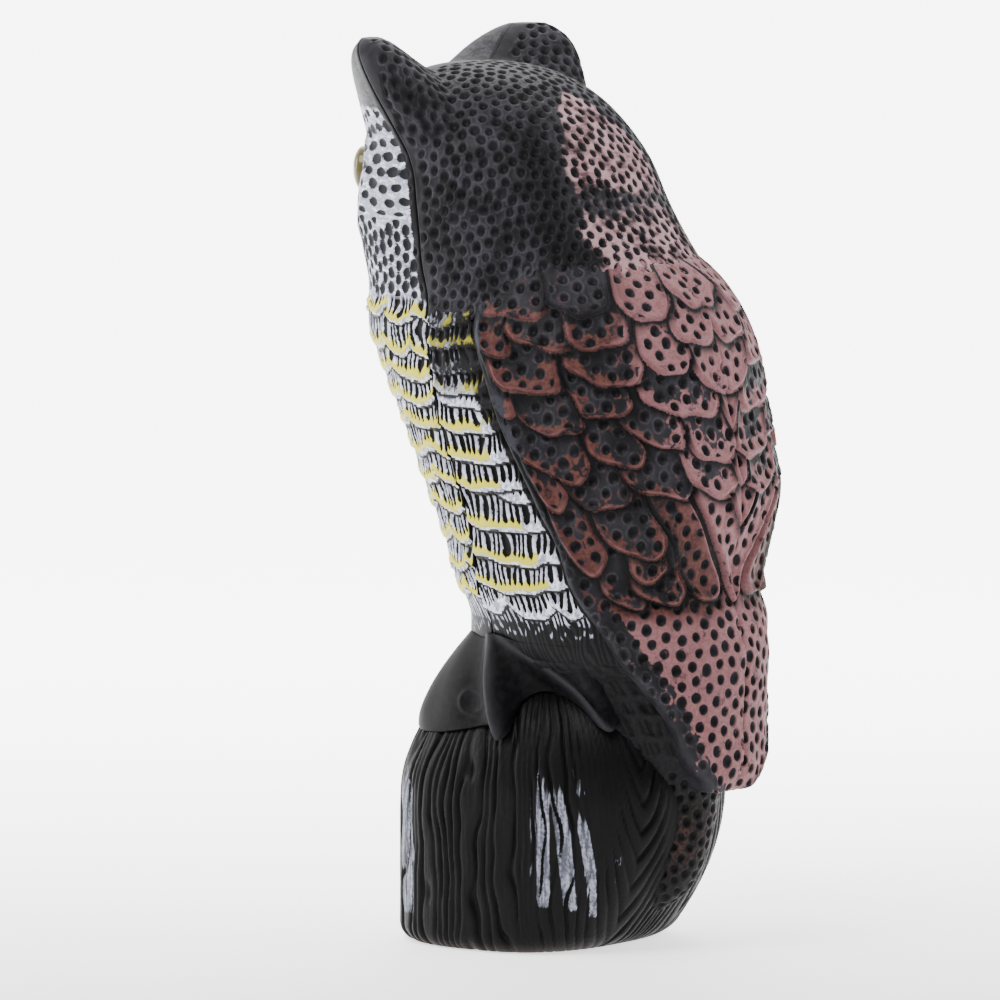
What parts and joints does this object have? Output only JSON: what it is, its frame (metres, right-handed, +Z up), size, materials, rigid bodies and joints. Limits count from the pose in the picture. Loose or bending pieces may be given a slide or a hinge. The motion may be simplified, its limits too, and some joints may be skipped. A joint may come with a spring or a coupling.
{
  "type": "owl decoy",
  "caption": "Hollow moulded garden owl on a fluted tree-stump base, with ear tufts, feathered wings, clawed feet and set-in eyes.",
  "frame": {"origin": "on the stump's flat underside, midway across it and 61 mm behind the stump's front", "axes": "+Z up, the owl faces -Y, +X is the owl's own left"},
  "size_m": [0.161, 0.2016, 0.4032],
  "materials": {
    "painted_plastic": "charcoal moulded plastic with a soft sheen, dry-brushed white, yellow and terracotta",
    "eye_plastic": "glossy domed plastic, olive yellow with a dark pupil"
  },
  "bodies": {
    "root": {"owl_body": "painted_plastic", "eye_left": "eye_plastic", "eye_right": "eye_plastic"}
  },
  "joints": []
}
